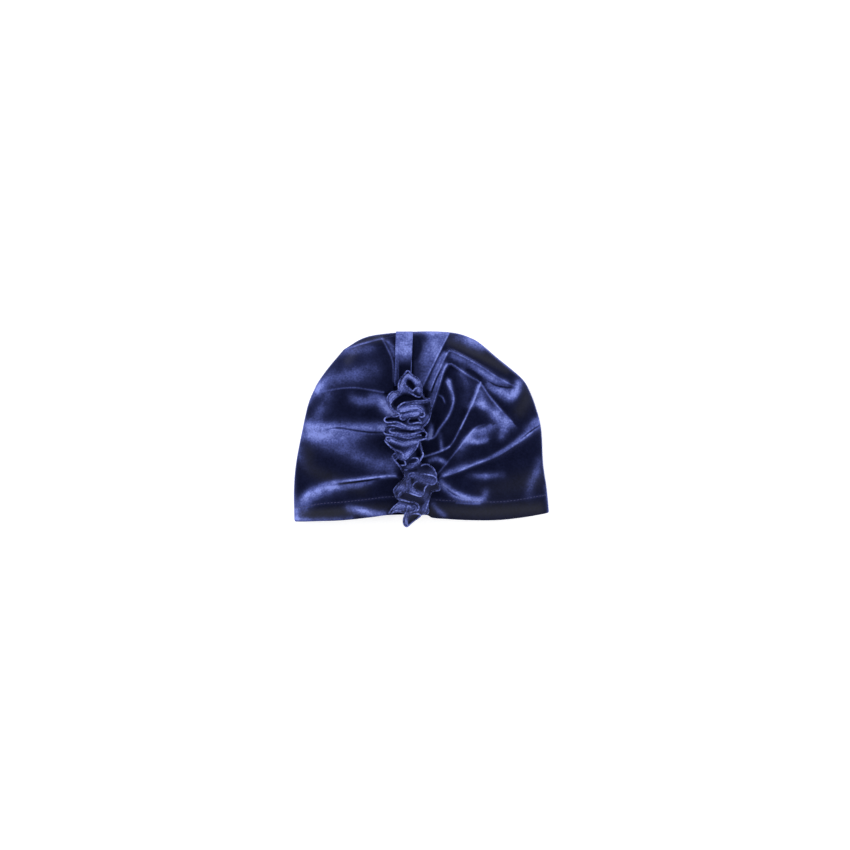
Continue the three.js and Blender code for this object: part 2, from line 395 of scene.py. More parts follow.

# Each fold: its line, its height along the line, how far it reaches to the left and to the right
# of that line, how sharp its crest is, and the strength of the highlight painted along its crest, where minus
# paints shade along a crease.
# A side that reaches only a millimetre or two is a pleat's edge, which drops to the cloth beneath.
FOLDS = [
    # left half, from the crown down
    ([(-77, 79.5), (-56, 85.5), (-40, 89.5)], [2, 4.5, 3], 1.4, 16, 1.6, 0.62),
    ([(-40, 89.5), (-34, 79), (-29, 66), (-28, 46)], [3, 4, 4, 3], 1.4, 12, 1.6, 0.45),
    ([(-39, 89), (-33, 85.5), (-27, 81)], [2, 2.5, 2], 1.3, 9, 1.5, 0.3),
    ([(-104, 36), (-92, 38), (-68, 40.4), (-38, 35.8)], [0.5, 2.5, 4, 3.5], 13, 1.5, 1.6, 0.4),
    ([(-70, 36), (-52, 27), (-36, 20), (-25, 12)], [1, 3, 4, 3], 6, 6, 1.8, 0),
    ([(-123, 5), (-108, 1.5), (-96, -1), (-80, 0.5), (-61, -2), (-38, -3.5), (-28, -4)],
     [3, 8, 8, 7, 6, 5, 4], 8, 9, 1.7, 0),
    ([(-98, -1.6), (-85, 0.6), (-74, -0.6), (-61, -2.6), (-48, -3.8), (-37, -3.8)],
     [0, -1.8, -1.8, -1.6, -1], 1.2, 1.2, 2, -0.6),
    ([(-116, -8), (-80, -22), (-50, -31), (-32, -38)], [1, 3, 3, 2], 8, 7, 1.8, 0),
    ([(-123, -72), (-105, -64), (-92, -58), (-78, -54.5), (-52, -50.5), (-25, -48.5)], [4, 8, 8, 8, 7, 5],
     5, 8, 1.7, 0),
    ([(-88, -55.4), (-68, -53), (-54, -51.2), (-42, -49.2)], [0, -1.8, -1.8, -1], 1.2, 1.2, 2, -0.6),
    ([(-90, -53.4), (-68, -51), (-48, -48.6), (-34, -46.6), (-26, -47.2), (-21.8, -50.6)],
     [0.5, 1.5, 2, 2, 1], 1.6, 2, 2, 0.5),
    ([(-74, -82), (-52, -83.5), (-34, -83)], [0, 1.8, 0], 4, 5, 2, 0),
    # right half, from the crown down
    ([(27, 95), (13.5, 68), (1, 42.5)], [2.5, 4, 3.5], 1.4, 12, 1.5, 0.32),
    ([(7.9, 37.5), (13.3, 49.6), (18.4, 61.2), (22.6, 70), (25.4, 75.6), (29, 77), (43, 70.5), (60.5, 60.5),
     (74, 51.5), (87, 44.5), (97, 41)], [3, 4, 5, 5.5, 5.5, 5, 4.5, 4, 1.5],
     [5, 5, 5, 2.2, 1.8, 2.2, 2.8, 4, 5], [1.2, 1.2, 1.4, 5, 7, 7, 7, 7, 7], 1.6, 0.5),
    ([(3.6, 4), (7.3, 14.7), (11.9, 26.1), (17.3, 42.9), (21.6, 57), (24.6, 63), (28, 64.4), (33.4, 61.4),
     (45, 53), (58, 46)], [2, 3, 4, 4.5, 5, 5, 4.5, 2], 6, 1.3, 1.7, 0.55),
    ([(20.6, 61.8), (16.4, 54), (13, 46.4), (9.6, 36)], [-0.5, -2, -2, -1], 1.1, 1.1, 2, -0.5),
    ([(58, 45.5), (69, 29.5), (90, 6.5)], [2.5, 4, 1.5], 1.6, 12, 1.5, 0.55),
    ([(58, 45.5), (50, 25), (37, -1.5), (27.5, -17.5), (14, -24), (1, -28)], [2.5, 5, 4.5, 4, 3, 2], 10,
     1.4, 1.5, 0.6),
    ([(62, 49.6), (73, 43), (83, 41), (89, 40.8)], [0, -1, -1.1, -0.4], 1, 1, 2, -0.4),
    ([(24.5, 46), (31, 34), (30.5, 24), (26, 12), (16, -1.5), (12, -9), (-2, -12)],
     [3, 5, 4.5, 4, 3.5, 3, 2], 3, 4, 1.7, 0.35),
    ([(16.6, 33.4), (20.4, 31), (22.8, 25.4)], [1, 2.5, 1], 2, 2.5, 2, 0.55),
    ([(62, 4), (51.6, -0.5), (34, -22.5), (15, -45.5)], [2, 5, 4, 3], 9, 1.4, 1.5, 0.45),
    ([(121, 6), (107, -5.5), (96, -13.5), (74, -27.5), (52, -35.5), (34, -43.5), (17, -48.5)],
     [4, 8, 7.5, 6.5, 6, 5, 4], [5, 5, 4, 3.5, 3, 3, 2.5], [11, 11, 9, 6, 5, 4, 3], 1.6, 0.3),
    ([(19, -52), (28, -60), (40, -66), (55, -68), (67, -61)], [3, 6, 7, 6, 2], 9, 4.5, 1.8, 0),
    ([(22, -57.5), (31, -64.8), (43, -69.6)], [0, -2, 0], 1.2, 1.2, 2, -0.7),
    ([(48, -46), (62, -46.5), (76, -45)], [0, 2, 0], 4, 4, 2, 0.1),
    ([(114, -24), (116, -42), (118, -62)], [0, 2.5, 0], 5, 5, 2, 0),
    ([(34, 93), (50, 86), (64, 76)], [1, 2.5, 1], 6, 6, 2, 0),
]

# Where the pile has been brushed over and shows its lighter side, and where highlights on slopes and ridges
# are painted in:
# each stroke's line, its strength along the line, and how far it reaches to the left and to the right.
# Minus is darker, painted shade in creases and hollows.
BRUSHED_AND_PAINTED_LIGHT = [
    # left half
    ([(-76, 77), (-64, 79), (-50, 80.6)], [0.3, 0.34, 0.22], 4.4, 7),
    ([(-34, 86), (-31, 80), (-28, 72)], [0.25, 0.35, 0.3], 3.4, 1.6),
    ([(-103, 45), (-88, 50), (-70, 53), (-50, 56)], [0.4, 0.36, 0.36, 0.26], 11, 9),
    ([(-112, 28), (-107, 36), (-98, 46)], [0.3, 0.6, 0.3], 4, 5),
    ([(-109, 9), (-101, 20), (-94, 32)], [0.2, 0.3, 0.25], 6, 8),
    ([(-69, 30), (-61, 27.4), (-53, 25.4)], [0.3, 0.5, 0.25], 5, 4.6),
    ([(-49, 32), (-41, 27.4), (-34, 20.6), (-26, 14.4)], [0.45, 0.9, 0.95, 0.95], 5, 6),
    ([(-122, 3), (-106, 1), (-86, 1), (-60, 0), (-38, -0.5)], [0.55, 0.75, 0.6, 0.6, 0.75], 6, 5),
    ([(-118, -6), (-100, -7), (-84, -7.4), (-60, -8)], [0.5, 0.72, 0.6, 0.3], 5, 7),
    ([(-104, -14), (-84, -19), (-66, -26), (-50, -34), (-32, -36.5)], [0.2, 0.35, 0.35, 0.35, 0.45], 9, 8),
    ([(-124, -20), (-122, -30), (-118, -38)], [0.25, 0.25, 0.1], 6, 3),
    ([(-123, -82), (-117, -70), (-106, -62), (-95, -58.6), (-86, -57)], [0.4, 0.75, 0.9, 0.7, 0.35], 5, 8),
    ([(-106, -58), (-88, -53.6), (-70, -51.6), (-50, -49), (-27, -46.8)], [0, 0.45, 0.6, 0.55, 0.45], 2.6,
     [4, 3, 2, 2, 2]),
    ([(-92, -58.4), (-74, -56.6), (-58, -54.4), (-46, -52)], [0.4, 0.65, 0.6, 0.15], 1.6, 3.8),
    ([(-128, -40), (-127.8, -60), (-127, -90)], [0, 0.2, 0.6], 3, 3),
    ([(-124, -91), (-100, -91.4), (-70, -89.6)], [0.6, 0.4, 0.3], 3, 2),
    ([(-73, -78.6), (-62, -81), (-50, -83.6), (-38, -84.6)], [0.45, 0.85, 0.8, 0.5], 3.5, 4.4),
    # right half
    ([(14, 98), (10, 87), (6, 76), (2, 64), (-1, 50)], [0.4, 0.5, 0.45, 0.2, 0.15], 9, 8),
    ([(-6, 88), (-4, 80), (-7, 73)], [-0.1, -0.3, -0.2], 4, 4),
    ([(27, 95), (13.5, 68), (1, 42.5)], [0.42, 0.36, 0.12], 0.6, 9),
    ([(-8, 97), (6, 97), (24, 97)], [0.35, 0.45, 0.3], 5, 3.5),
    ([(38, 91.6), (48, 88.4), (58, 83)], [0.45, 0.75, 0.6], 4.4, 6.4),
    ([(62, 82), (76, 70), (90, 59), (101, 48)], [0.1, 0.25, 0.25, 0.1], 1.6, 1.6),
    ([(44, 58), (50, 55.6), (57, 51)], [-0.2, -0.3, -0.2], 2.4, 1.4),
    ([(30, 73), (45, 66), (60, 56), (72, 49), (84, 45.4)], [0.4, 0.35, 0.65, 0.7, 0.5], 3, 4),
    ([(66, 43), (78, 35.4), (88, 31), (93.6, 37), (96.4, 45)], [0.35, 0.5, 0.8, 0.95, 0.75], 4.4, 4.4),
    ([(72, 40), (80, 38.4), (88, 37)], [0.15, 0.3, 0.4], 3, 4),
    ([(57.5, 36), (61.5, 24), (69, 17), (76, 10), (81.5, 3), (79, -8)], [0.4, 0.55, 0.55, 0.62, 0.65, 0.45],
     [3, 4, 4, 5, 6, 4], [5, 5, 5, 5, 6, 4]),
    ([(59, 44), (74.5, 22.6), (84, 11.6), (89.4, 6.6)], [0.2, 0.2, 0.4, 0.45], 0.6, 6),
    ([(48, 22), (54, 24.4), (61, 21)], [0.3, 0.4, 0.25], 4, 3),
    ([(56.4, 43), (51, 29), (45.6, 16), (38.4, 0)], [0.6, 0.45, 0.3, 0.3], [1.6, 1.5, 0.9, 0.8],
     [1.6, 1.6, 0.9, 0.8]),
    ([(40, 55), (46, 40), (44, 26)], [0.3, 0.2, 0.1], 7, 5),
    ([(5, 12), (9, 26), (14, 42), (19, 56), (23.6, 62.6)], [0.35, 0.5, 0.5, 0.5, 0.6], 3.4, 2.4),
    ([(7, 40), (12, 54), (17, 66), (22, 74)], [0.35, 0.45, 0.55, 0.6], 2.6, 3),
    ([(27, 47), (29.6, 36), (31.4, 26), (27, 13), (20, 3), (12, -8.4), (3, -10.8)],
     [0.9, 0.6, 0.35, 0.35, 0.35, 0.35, 0.3], [2.2, 2, 1.2, 1.2, 1.2, 1.2, 1],
     [3, 2.6, 2.4, 2.4, 1.6, 1.6, 1.2]),
    ([(68, 2), (60, -1.4), (52, -3), (44, -11), (36, -22)], [0.45, 0.7, 0.8, 0.6, 0.2], 6, 3),
    ([(46, -13), (56, -13.6), (64, -12)], [0.35, 0.75, 0.5], 4, 2.4),
    ([(120, 6), (106, -4.4), (90, -15.6), (68, -28.6), (48, -37), (22, -46)],
     [0.5, 0.62, 0.55, 0.45, 0.7, 0.5], [4, 3, 2, 1.6, 1.8, 2], [5, 3.4, 2, 1.8, 4.4, 3]),
    ([(118, 10), (111, 6), (104, 0)], [0.4, 0.4, 0.2], 3, 3.6),
    ([(118, 3.4), (108, -2.8), (99, -9.4)], [-0.55, -0.6, -0.25], 0.7, 0.7),
    ([(18.6, -54), (29, -63), (42, -68.6), (54, -70.8), (61, -69), (63, -63.4)],
     [0.6, 0.75, 0.9, 0.9, 0.7, 0.35], 3.8, 4),
    ([(46, -46.4), (62, -47.6), (80, -46)], [0.1, 0.5, 0.2], 3.4, 3.4),
    ([(117, -32), (115, -42), (109, -54), (106, -66)], [0.2, 0.45, 0.3, 0.15], 5, 5),
    ([(123, -58), (126, -72), (127, -84)], [0.2, 0.3, 0.3], 2, 2),
    ([(11, -75), (15, -80), (22, -86)], [0.3, 0.45, 0.3], 3, 3),
    ([(8, -31.6), (14, -30), (22, -33)], [0.35, 0.65, 0.6], 2.4, 2.8),
    ([(18, -6), (18.8, -13), (19.6, -20)], [0.2, 0.35, 0.55], 2, 2),
    ([(9.8, 3), (10, -3), (8.6, -8)], [0.3, 0.9, 1], 1.8, 3.4),
    ([(27, -17.8), (14, -24), (1, -28)], [0.3, 0.4, 0.3], 1.2, 1.2),
    ([(34, -73.9), (46, -74.8), (58, -74.8)], [0.2, 0.4, 0.2], 0.9, 0.9),
]
REST_NAP = 0.06  # of cloth that nothing has brushed

# Where a lighter grey is added to the colour: along the hem, near the side folds and along the crown edge
GREYED = [
    ([(-119, -86), (-90, -84), (-60, -81), (-34, -79)], [1.2, 1.2, 0.8, 0.5], 5, 6),
    ([(-16, -80), (10, -82)], [0.5, 0.5], 6, 6),
    ([(12, -81), (60, -83), (116, -80)], [0.7, 1, 1], 7, 7),
    ([(98, 18), (104, 30), (100, 42)], [0.6, 0.8, 0.4], 7, 7),
    ([(28, 86), (50, 76), (70, 66), (84, 58)], [0.7, 1, 1, 0.7], 7, 4),
    ([(62, -62), (90, -56), (112, -50)], [0.2, 0.35, 0.5], 10, 12),
    ([(-74, 68), (-60, 86), (-40, 92)], [0.8, 0.6, 0.8], 4, 5),
    ([(-114, -22), (-108, -42), (-60, -60)], [0.4, 0.5, 0.4], 7, 7),
]


def fold_heights(x, y):
    """The folds' height over the smooth dome, and the highlight (minus: crease shade) painted along their
    crests, at x and y.
    """
    height = np.zeros(x.shape)
    painted_crest_light = np.zeros(x.shape)
    for path, levels, left, right, sharp, crest in FOLDS:
        bump, distance = ridge_profile(path, x, y, left, right, levels, sharp)
        height += bump
        top = max(abs(level) for level in levels)
        # crest is the strength of the highlight painted along the fold's crest; minus paints shade along a
        # crease.
        painted_crest_light += crest * np.abs(bump) / top * np.exp(-((distance / CREST_LIGHT_HALF_WIDTH) ** 2))
    return height, painted_crest_light


def strokes(table, x, y):
    """The sum of a table's strokes at x and y."""
    total = np.zeros(x.shape)
    for path, amount, left, right in table:
        total += ridge_profile(path, x, y, left, right, amount)[0]
    return total


def undulation(x, y):
    """Slow, shallow waves that no cloth is without."""
    wave = 0.5 * np.sin(x / 17 + 1.3) * np.sin(y / 13 + 0.4)
    wave += 0.35 * np.sin((x + 0.7 * y) / 9.1) * np.sin((y - 0.4 * x) / 11.3 + 2)
    return wave


# ---------------------------------------------------------------- velvet panels

HEM_V = 0.092  # v of the hem's stitch line, over most of its way
HEM_GAP = 3.0  # from the hem's outer face to its turned-up layer
FRONT_SPACING = 0.78  # between the front velvet's vertices
BACK_SPACING = 1.8
CLOTH = 0.8  # thickness of the velvet
KNIT = 0.6  # thickness of the lining
SEAM_X = -14.0  # the centre front seam, under the ruffle
SEAM_DIP = 3.4  # how far the seam draws the velvet down
SEAM_REACH = 5.0  # and how far to its sides
STITCH_DIP = 0.9  # the same two for the hem's stitch line
STITCH_REACH = 1.3


def stitch_v(u):
    """v of the front hem's stitch line, which runs a little lower at the left fold than at the right."""
    return HEM_V - 0.018 * smooth(u, 0.14, 0.0) + 0.014 * smooth(u, 0.8, 1.0)


def hem_rows(depth):
    """(v, depth) of the rows of a turned-up hem: down the inside and round the edge."""
    inside = [(v, depth) for v in np.linspace(HEM_V, 0.012, 12)]
    middle = depth / 2
    roll = [(0.012 - 0.012 * math.cos(a), middle + middle * math.sin(a)) for a in np.linspace(1.35, -1.35, 9)]
    return inside + roll


def inward(x, y, depth):
    """x and y of a layer that lies depth inside the outline."""
    return x * (1 - 2 * depth / WIDTH), HEM_Y + (y - HEM_Y) * (1 - depth / LENGTH)


def front_surface(u, v, depth, follows=1.0):
    """Points of a front layer, depth below the velvet's outer face, with the pile's nap and painted
    highlights and shade.
    follows is how much of the folds the layer takes part in."""
    x, y = patch(u, v)
    share = rise(u, v, 1.25)
    z = FOLD + (PLATEAU - 2.5 - depth - FOLD) * share
    nap = np.zeros(x.shape)
    if follows:
        height, painted_crest_light = fold_heights(x, y)
        stitched = np.exp(-(((v - stitch_v(u)) * LENGTH / STITCH_REACH) ** 2))
        seam = SEAM_DIP * np.exp(-(((x - SEAM_X) / SEAM_REACH) ** 2)) * smooth(y, 75, 60)
        detail = height + undulation(x, y) - STITCH_DIP * stitched - seam
        z = z + follows * np.clip(share * 1.3, 0, 1) * detail
        # Colour share: brushed nap with painted highlights and shade from the strokes, painted highlights and
        # crease shade along the fold crests, and a little lighter along the hem's stitch line.
        nap = REST_NAP + np.clip(strokes(BRUSHED_AND_PAINTED_LIGHT, x, y), 0, 1) + np.clip(painted_crest_light, -1, 1) + 0.12 * stitched
    return *inward(x, y, depth), z, nap


def back_surface(u, v, depth, follows=1.0):
    """Points of a back layer, depth above the velvet's outer face, with the pile at rest."""
    x, y = patch(u, v)
    creased = follows * (0.35 + 0.35 * undulation(x * 1.3 + 20, y * 1.1))
    z = FOLD - (FOLD - depth - np.maximum(creased, 0)) * rise(u, v, 1.7)
    return *inward(x, y, depth), z, np.full(x.shape, REST_NAP)


def cloth_grid(name, material, surface, us, rows, follows=1.0, thick=CLOTH):
    """A sheet of cloth over a grid of u and of (v, depth) rows, as a closed shell."""
    u = np.asarray(us)[None, :] * np.ones((len(rows), 1))
    v = np.array([row[0] for row in rows])[:, None] * np.ones(len(us))
    depth = np.array([row[1] for row in rows])[:, None] * np.ones(len(us))
    x, y, z, nap = surface(u, v, depth, follows)
    faces = grid_faces(len(rows), len(us))
    if surface is back_surface:
        faces = [face[::-1] for face in faces]
    grey = strokes(GREYED, x, y) if follows else np.zeros(x.shape)
    vertices = np.stack([x, y, z], -1).reshape(-1, 3)
    piece = add_object(name, vertices, faces, material, nap=nap.ravel(), grey=grey.ravel())
    return thicken(piece, thick, -1)


def velvet_panel(name, surface, u_low, u_high, spacing):
    """An outer panel with its turned-up hem."""
    us = np.linspace(u_low, u_high, int((u_high - u_low) * WIDTH / spacing))
    rows = hem_rows(HEM_GAP) + [(v, 0.0) for v in np.linspace(0.014, 1, int(LENGTH / spacing))]
    return cloth_grid(name, velvet, surface, us, rows)


def lining_panel(name, surface, depth):
    """A lining, sewn in under the turned-up hem."""
    us = np.linspace(0.0, 1.0, 120)
    rows = [(v, depth) for v in np.linspace(HEM_V - 0.012, 0.995, 90)]
    return cloth_grid(name, lining, surface, us, rows, follows=0.0, thick=KNIT)


# ---------------------------------------------------------------- ruffle band

# Each fold of the gathered band: its crest as (x, y, height over the front), and how far its foot
# lies from its crest, as (x, y) at even steps along it. Between two points the band runs smoothly.
LOBES = {
    "knob_outer": ([(-23.2, 38.5, 12), (-23.3, 43.1, 14), (-20.6, 49.5, 16), (-17.6, 53.6, 17),
        (-13.6, 57, 17), (-9.5, 52.8, 17), (-5.5, 50.3, 17), (-2.6, 47.8, 16.5), (-3, 44.6, 15)],
        [(3, 0), (3, -3), (0, -4), (-3, -2)]),
    "knob_inner": ([(-19.5, 43, 14), (-16.8, 45.2, 15.5), (-15.4, 42.2, 16), (-12, 39.2, 16.5),
        (-9, 37.2, 16.5), (-6, 39.5, 16.5), (-2.8, 40, 17), (-0.9, 36.8, 17), (0.3, 33.6, 16.5),
        (-1.8, 31, 16), (-6, 32, 15), (-11.5, 34.8, 13.5), (-16, 38, 12)],
        [(-3, 0), (-2, -4), (0, -4), (-2, 0), (-4, -1), (-1, 3), (2, 2)]),
    "knob_curl": ([(-9.8, 41.6, 12), (-7.5, 40.4, 13), (-5, 41.4, 14), (-4.6, 43.6, 14), (-7.2, 44.4, 13)],
        [(1, 1), (0, 2), (-1, 0)]),
    "left_flap": ([(-21.5, 38, 11), (-26, 36.6, 12), (-30, 36.2, 11), (-34.4, 30.4, 9.5), (-33, 26, 8)],
        [(1, -5), (4, -3), (5, 0)]),
    "flap_edge": ([(-21.3, 36.8, 11), (-24, 32.6, 11), (-29.7, 26.5, 10), (-30.7, 22.6, 10),
        (-28.7, 19.3, 11), (-24.8, 16.6, 12), (-21.6, 13.8, 13)],
        [(-2, 3), (-4, 1), (-3, -2), (-1, -3)]),
    "first_pass": ([(8.5, 30.2, 11), (4.4, 28.2, 13.5), (-2.2, 27.4, 15), (-8.8, 27, 15.5),
        (-13.5, 26.3, 15.5), (-18.8, 25, 15), (-22.8, 22.6, 14.5), (-24, 19.8, 14), (-22.5, 17, 13.5)],
        [(0, -3), (0, -3), (1, -3), (3, -2), (3, 0)]),
    "first_pass_under": ([(5, 26.2, 12), (-2.2, 25.4, 14), (-8.8, 25, 14.5), (-14, 24, 14)],
        [(0, -2), (0, -2)]),
    "second_pass": ([(-22.3, 16.6, 13.5), (-16, 17.2, 15), (-9, 18.4, 16), (-3.5, 18.2, 16),
        (0.4, 15.6, 15.5)],
        [(0, 3), (0, 3), (-1, 2)]),
    "second_pass_end": ([(-13, 22, 14), (-6, 22.4, 15.5), (-2, 20.2, 16.5), (1.3, 17.4, 16.5),
        (2.9, 14.2, 16.5), (2.1, 12.2, 16), (-0.4, 11.2, 15), (-2.6, 11.8, 14)],
        [(0, -2), (-2, -2), (-3, 0), (-1, 2)]),
    "third_pass": ([(-20, 14, 14), (-21.4, 10.6, 15), (-18.9, 8.5, 15.5), (-15.5, 10.2, 16),
        (-11.8, 12, 16.5), (-7.2, 12.6, 16.5), (-3.4, 14, 16)],
        [(1, 0), (1, 1), (0, 2), (0, 2)]),
    "left_loop": ([(-21.4, 13.5, 13.5), (-27.1, 11.7, 14.5), (-32, 12.1, 15), (-35.6, 11, 15),
        (-37.1, 8.6, 15), (-35.6, 6.2, 15.5), (-31.6, 6, 16), (-27.6, 6.5, 16.5), (-23.4, 5.8, 16.5),
        (-19.4, 4.3, 16.5), (-16.4, 2.8, 16), (-14.8, 1.2, 15.5)],
        [(0, -2), (1, -1), (2, 0), (1, 1), (0, 1), (0, 1)]),
    "small_curl": ([(-10.4, 10.4, 13.5), (-13.4, 8.8, 15), (-13.9, 6.4, 15.5), (-11.5, 4.6, 15.5),
        (-7.4, 5.2, 15.5), (-3.8, 5.6, 15.5), (-0.6, 5.4, 15.5), (-1.8, 8, 15.5), (-3.4, 10.6, 15)],
        [(1, 0), (1, 1), (0, 1), (-1, 0)]),
    "right_edge": ([(9.3, 22.5, 7), (9.1, 17, 9), (8.2, 11.4, 11), (6, 6.8, 13), (3.6, 3.6, 14),
        (0.6, 0.6, 15)],
        [(-2, 0), (-4, 2), (-3, 3)]),
    "fourth_pass": ([(-36.2, 0.6, 13), (-34.2, 2.8, 15), (-28.7, 3, 16), (-23.8, 2.2, 16.5),
        (-18.8, 0.6, 17), (-12.1, -0.5, 17), (-7.2, -0.2, 17), (-3, 0.4, 16.5), (0.4, -0.6, 16)],
        [(1, -2), (0, -1), (0, -1), (0, -1)]),
    "fifth_pass": ([(-27, 0.2, 15), (-30.4, -0.2, 16), (-32, -2, 16.5), (-30.2, -3.9, 17),
        (-25.4, -4.4, 17), (-20.4, -5.5, 17), (-15.5, -5.9, 17), (-10.5, -5.7, 17), (-5.5, -4.5, 17),
        (-2, -3.2, 16.5), (1.2, -2.5, 16), (3.8, -3.6, 15.5), (5.2, -5.6, 15), (3.6, -8.2, 14.5)],
        [(1, -1), (1, 0), (0, 1), (0, 1), (0, 1), (-1, -2)]),
    "sixth_pass": ([(-35.4, -1.5, 13), (-37.8, -3, 14), (-36, -5.2, 15), (-30, -6.4, 16),
        (-22.1, -7.9, 16.5), (-17.1, -9.2, 16.5), (-12.1, -9.3, 16.5), (-7.2, -8.1, 16.5), (-3.6, -6.7, 16),
        (-0.5, -6.5, 14)],
        [(1, 0), (0, 1), (0, 1), (0, 1)]),
    "seventh_pass": ([(-31, -12.6, 13), (-34.6, -11.2, 14), (-35.2, -9, 15), (-31.6, -8.8, 16),
        (-27.1, -11, 16.5), (-22.1, -13, 16.5), (-18.4, -13.8, 16.5), (-13.8, -12.6, 16.5),
        (-8, -11.3, 16.5), (-2.2, -11.5, 16), (2.1, -10.6, 15), (4.6, -9.6, 14)],
        [(1, 0), (1, -1), (0, 0), (0, 1), (0, 1)]),
    "tent_left": ([(-37, -11.5, 10), (-33.4, -16.4, 11), (-28.3, -20.4, 12), (-23, -22.8, 12.5),
        (-19.6, -24.4, 13), (-17.6, -27.4, 13), (-16.4, -30.6, 13)],
        [(4, 3), (3, 5), (1, 7)]),
    "tent_right": ([(-3.3, -13.5, 12), (-4, -16, 13), (-5.6, -19.6, 13.5), (-8.6, -23.8, 13.5),
        (-12.3, -27.2, 13.5), (-16.2, -30.8, 13)],
        [(-3, 1), (-4, 3), (-1, 5)]),
    "lower_left_lobe": ([(-21.5, -23.5, 9), (-25.8, -23.8, 10), (-28.9, -26.4, 10.5), (-28.8, -29, 10.5),
        (-26.6, -32.3, 10.5), (-24, -35.2, 10.5), (-21.6, -38.4, 10), (-19.6, -41.6, 9.5),
        (-17.9, -45.2, 8)],
        [(1, -2), (4, 0), (3, 2), (1, 3)]),
    "lower_left_fold": ([(-26.6, -31, 8), (-23.4, -28.8, 10), (-20.4, -30, 10.5), (-17, -31.8, 11),
        (-16.3, -35.8, 10), (-19, -36.6, 9), (-22.4, -36, 8)],
        [(0, -2), (-1, -1), (-1, 1)]),
    "lower_right_lobe": ([(-1.7, -14.5, 10), (-0.6, -19.5, 12), (0.6, -22.8, 12.5), (1.3, -25.8, 12.5),
        (0, -29.4, 12.5), (-3.1, -33.8, 12.5), (-6.9, -37.2, 12), (-11.1, -39.3, 11.5), (-14.6, -40.9, 11),
        (-17.8, -41.4, 10)],
        [(-3, 0), (-4, 0), (-3, 3), (0, 4)]),
    "lower_right_fold": ([(-12.2, -30.4, 9), (-9.2, -28.8, 11), (-6.1, -28.8, 11.5), (-3.6, -30.6, 11.5),
        (-4, -33.4, 11), (-8.6, -34.6, 10.5), (-13, -35.8, 10)],
        [(0, -2), (-1, -1), (0, 2)]),
    "bulge": ([(-9, -41.6, 8), (-3, -38.4, 9), (1.6, -35.4, 10), (5.5, -35.2, 10.5), (9.4, -37.8, 11),
        (12.2, -41, 11), (14, -44, 10.5), (14.6, -46, 9)],
        [(0, -3), (-1, -4), (-4, -2)]),
    "triangle": ([(15.2, -52, 9), (17, -56, 9), (17.6, -60.4, 9), (13, -61.6, 9), (9.4, -62.6, 9.5),
        (7.4, -58, 10)],
        [(-3, 0), (-4, 2), (-1, 3)]),
    "s_fold": ([(-15.6, -61.6, 13), (-14.6, -57.3, 15), (-14.6, -52.7, 16), (-13.1, -49.3, 16.5),
        (-9.2, -47.6, 16.5), (-5.6, -48.4, 15.5)],
        [(3, 0), (2, -2), (1, -3)]),
    "s_fold_back": ([(-13.6, -48, 13.5), (-13.2, -45.6, 15), (-10.6, -43.8, 16), (-6.4, -43.9, 16.5),
        (-1.6, -44.8, 16.5), (4.2, -45.1, 16.5), (9.9, -46, 16.5), (13.3, -48, 16.5), (14.7, -51, 16.5),
        (13, -53.9, 16.5), (9.9, -55.2, 16.5), (5.3, -54.5, 17), (0.4, -52.9, 17), (-4.2, -52.3, 17),
        (-7.5, -53.7, 17), (-9.3, -56.9, 17), (-7.7, -60, 16), (-3.9, -61.9, 14.5)],
        [(2, -2), (0, -3), (0, -3), (-3, 0), (0, 3), (0, 3), (2, 0), (2, 1)]),
    "s_fold_corner": ([(6, -55, 15), (3, -59.2, 15.5), (2.2, -62.6, 15.5), (0, -66, 15), (-2.4, -66.9, 15),
        (-6.9, -65.3, 14.5), (-11.5, -63.9, 14), (-16.3, -62.6, 13)],
        [(-3, 0), (-2, 2), (0, 3), (1, 3)]),
    "outer_leaf": ([(-14.2, -45.8, 8), (-18.8, -50, 9.5), (-23.4, -54.6, 10.5), (-27, -58.6, 11),
        (-28.2, -61.2, 11), (-27.5, -64.2, 11), (-25.4, -67.8, 11), (-21.7, -70.3, 11), (-16.9, -71.6, 11),
        (-12.1, -72.4, 11), (-6.7, -73.9, 11), (-3.4, -76.6, 10.5), (-3.3, -79.4, 10), (-5.4, -81.8, 9)],
        [(4, -2), (5, -1), (4, 3), (1, 5), (0, 5), (-2, 3)]),
    "leaf_tuck": ([(-22.6, -66.4, 9), (-21.2, -64.2, 11), (-18.4, -62.8, 12.5), (-15.6, -62.4, 13)],
        [(1, -1), (0, -2)]),
    "right_flank": ([(9.6, -62.8, 11), (8.3, -66.2, 12), (7.2, -70, 12), (5.8, -74.8, 11.5),
        (4.4, -78.6, 11), (2.8, -82, 10), (1.2, -84.8, 9)],
        [(-4, 0), (-5, 0), (-3, 1)]),
    "right_flank_tuck": ([(4.9, -77, 7.5), (6.2, -79.4, 7.5), (6.7, -82.3, 7), (4.8, -85, 6)],
        [(-2, 0), (-3, 1)]),
    "hem_lobe": ([(-20.6, -71.6, 9), (-24.9, -74.7, 10), (-29, -78.3, 10), (-31.9, -81.5, 9.5),
        (-33, -84.2, 8.5)],
        [(3, -2), (4, -3), (2, 1)]),
    "hem_lobe_edge": ([(-31, -85, 7), (-28.6, -82.8, 8.5), (-25.6, -81.2, 9), (-20.9, -81.2, 9.5),
        (-17.2, -79.8, 9.5), (-15.8, -77.6, 9.5), (-16.6, -75.2, 9.5)],
        [(1, 1), (0, 2), (-2, 1)]),
    "hem_curls": ([(-15.4, -82, 8), (-14.6, -78.8, 9.5), (-13.4, -76.2, 10), (-11.4, -77.6, 10),
        (-10.4, -80, 10), (-8.6, -77.6, 10), (-7.4, -75.8, 10), (-5.6, -77.8, 10), (-6.6, -80.8, 9.5),
        (-9.6, -82.4, 9), (-12.4, -82.6, 8.5)],
        [(1, 0), (0, 1), (0, 1), (0, 1)]),
    "tail_left": ([(-14.6, -80.5, 7.5), (-16.9, -84.4, 6), (-18.4, -89.4, 4.5), (-18.1, -94, 3),
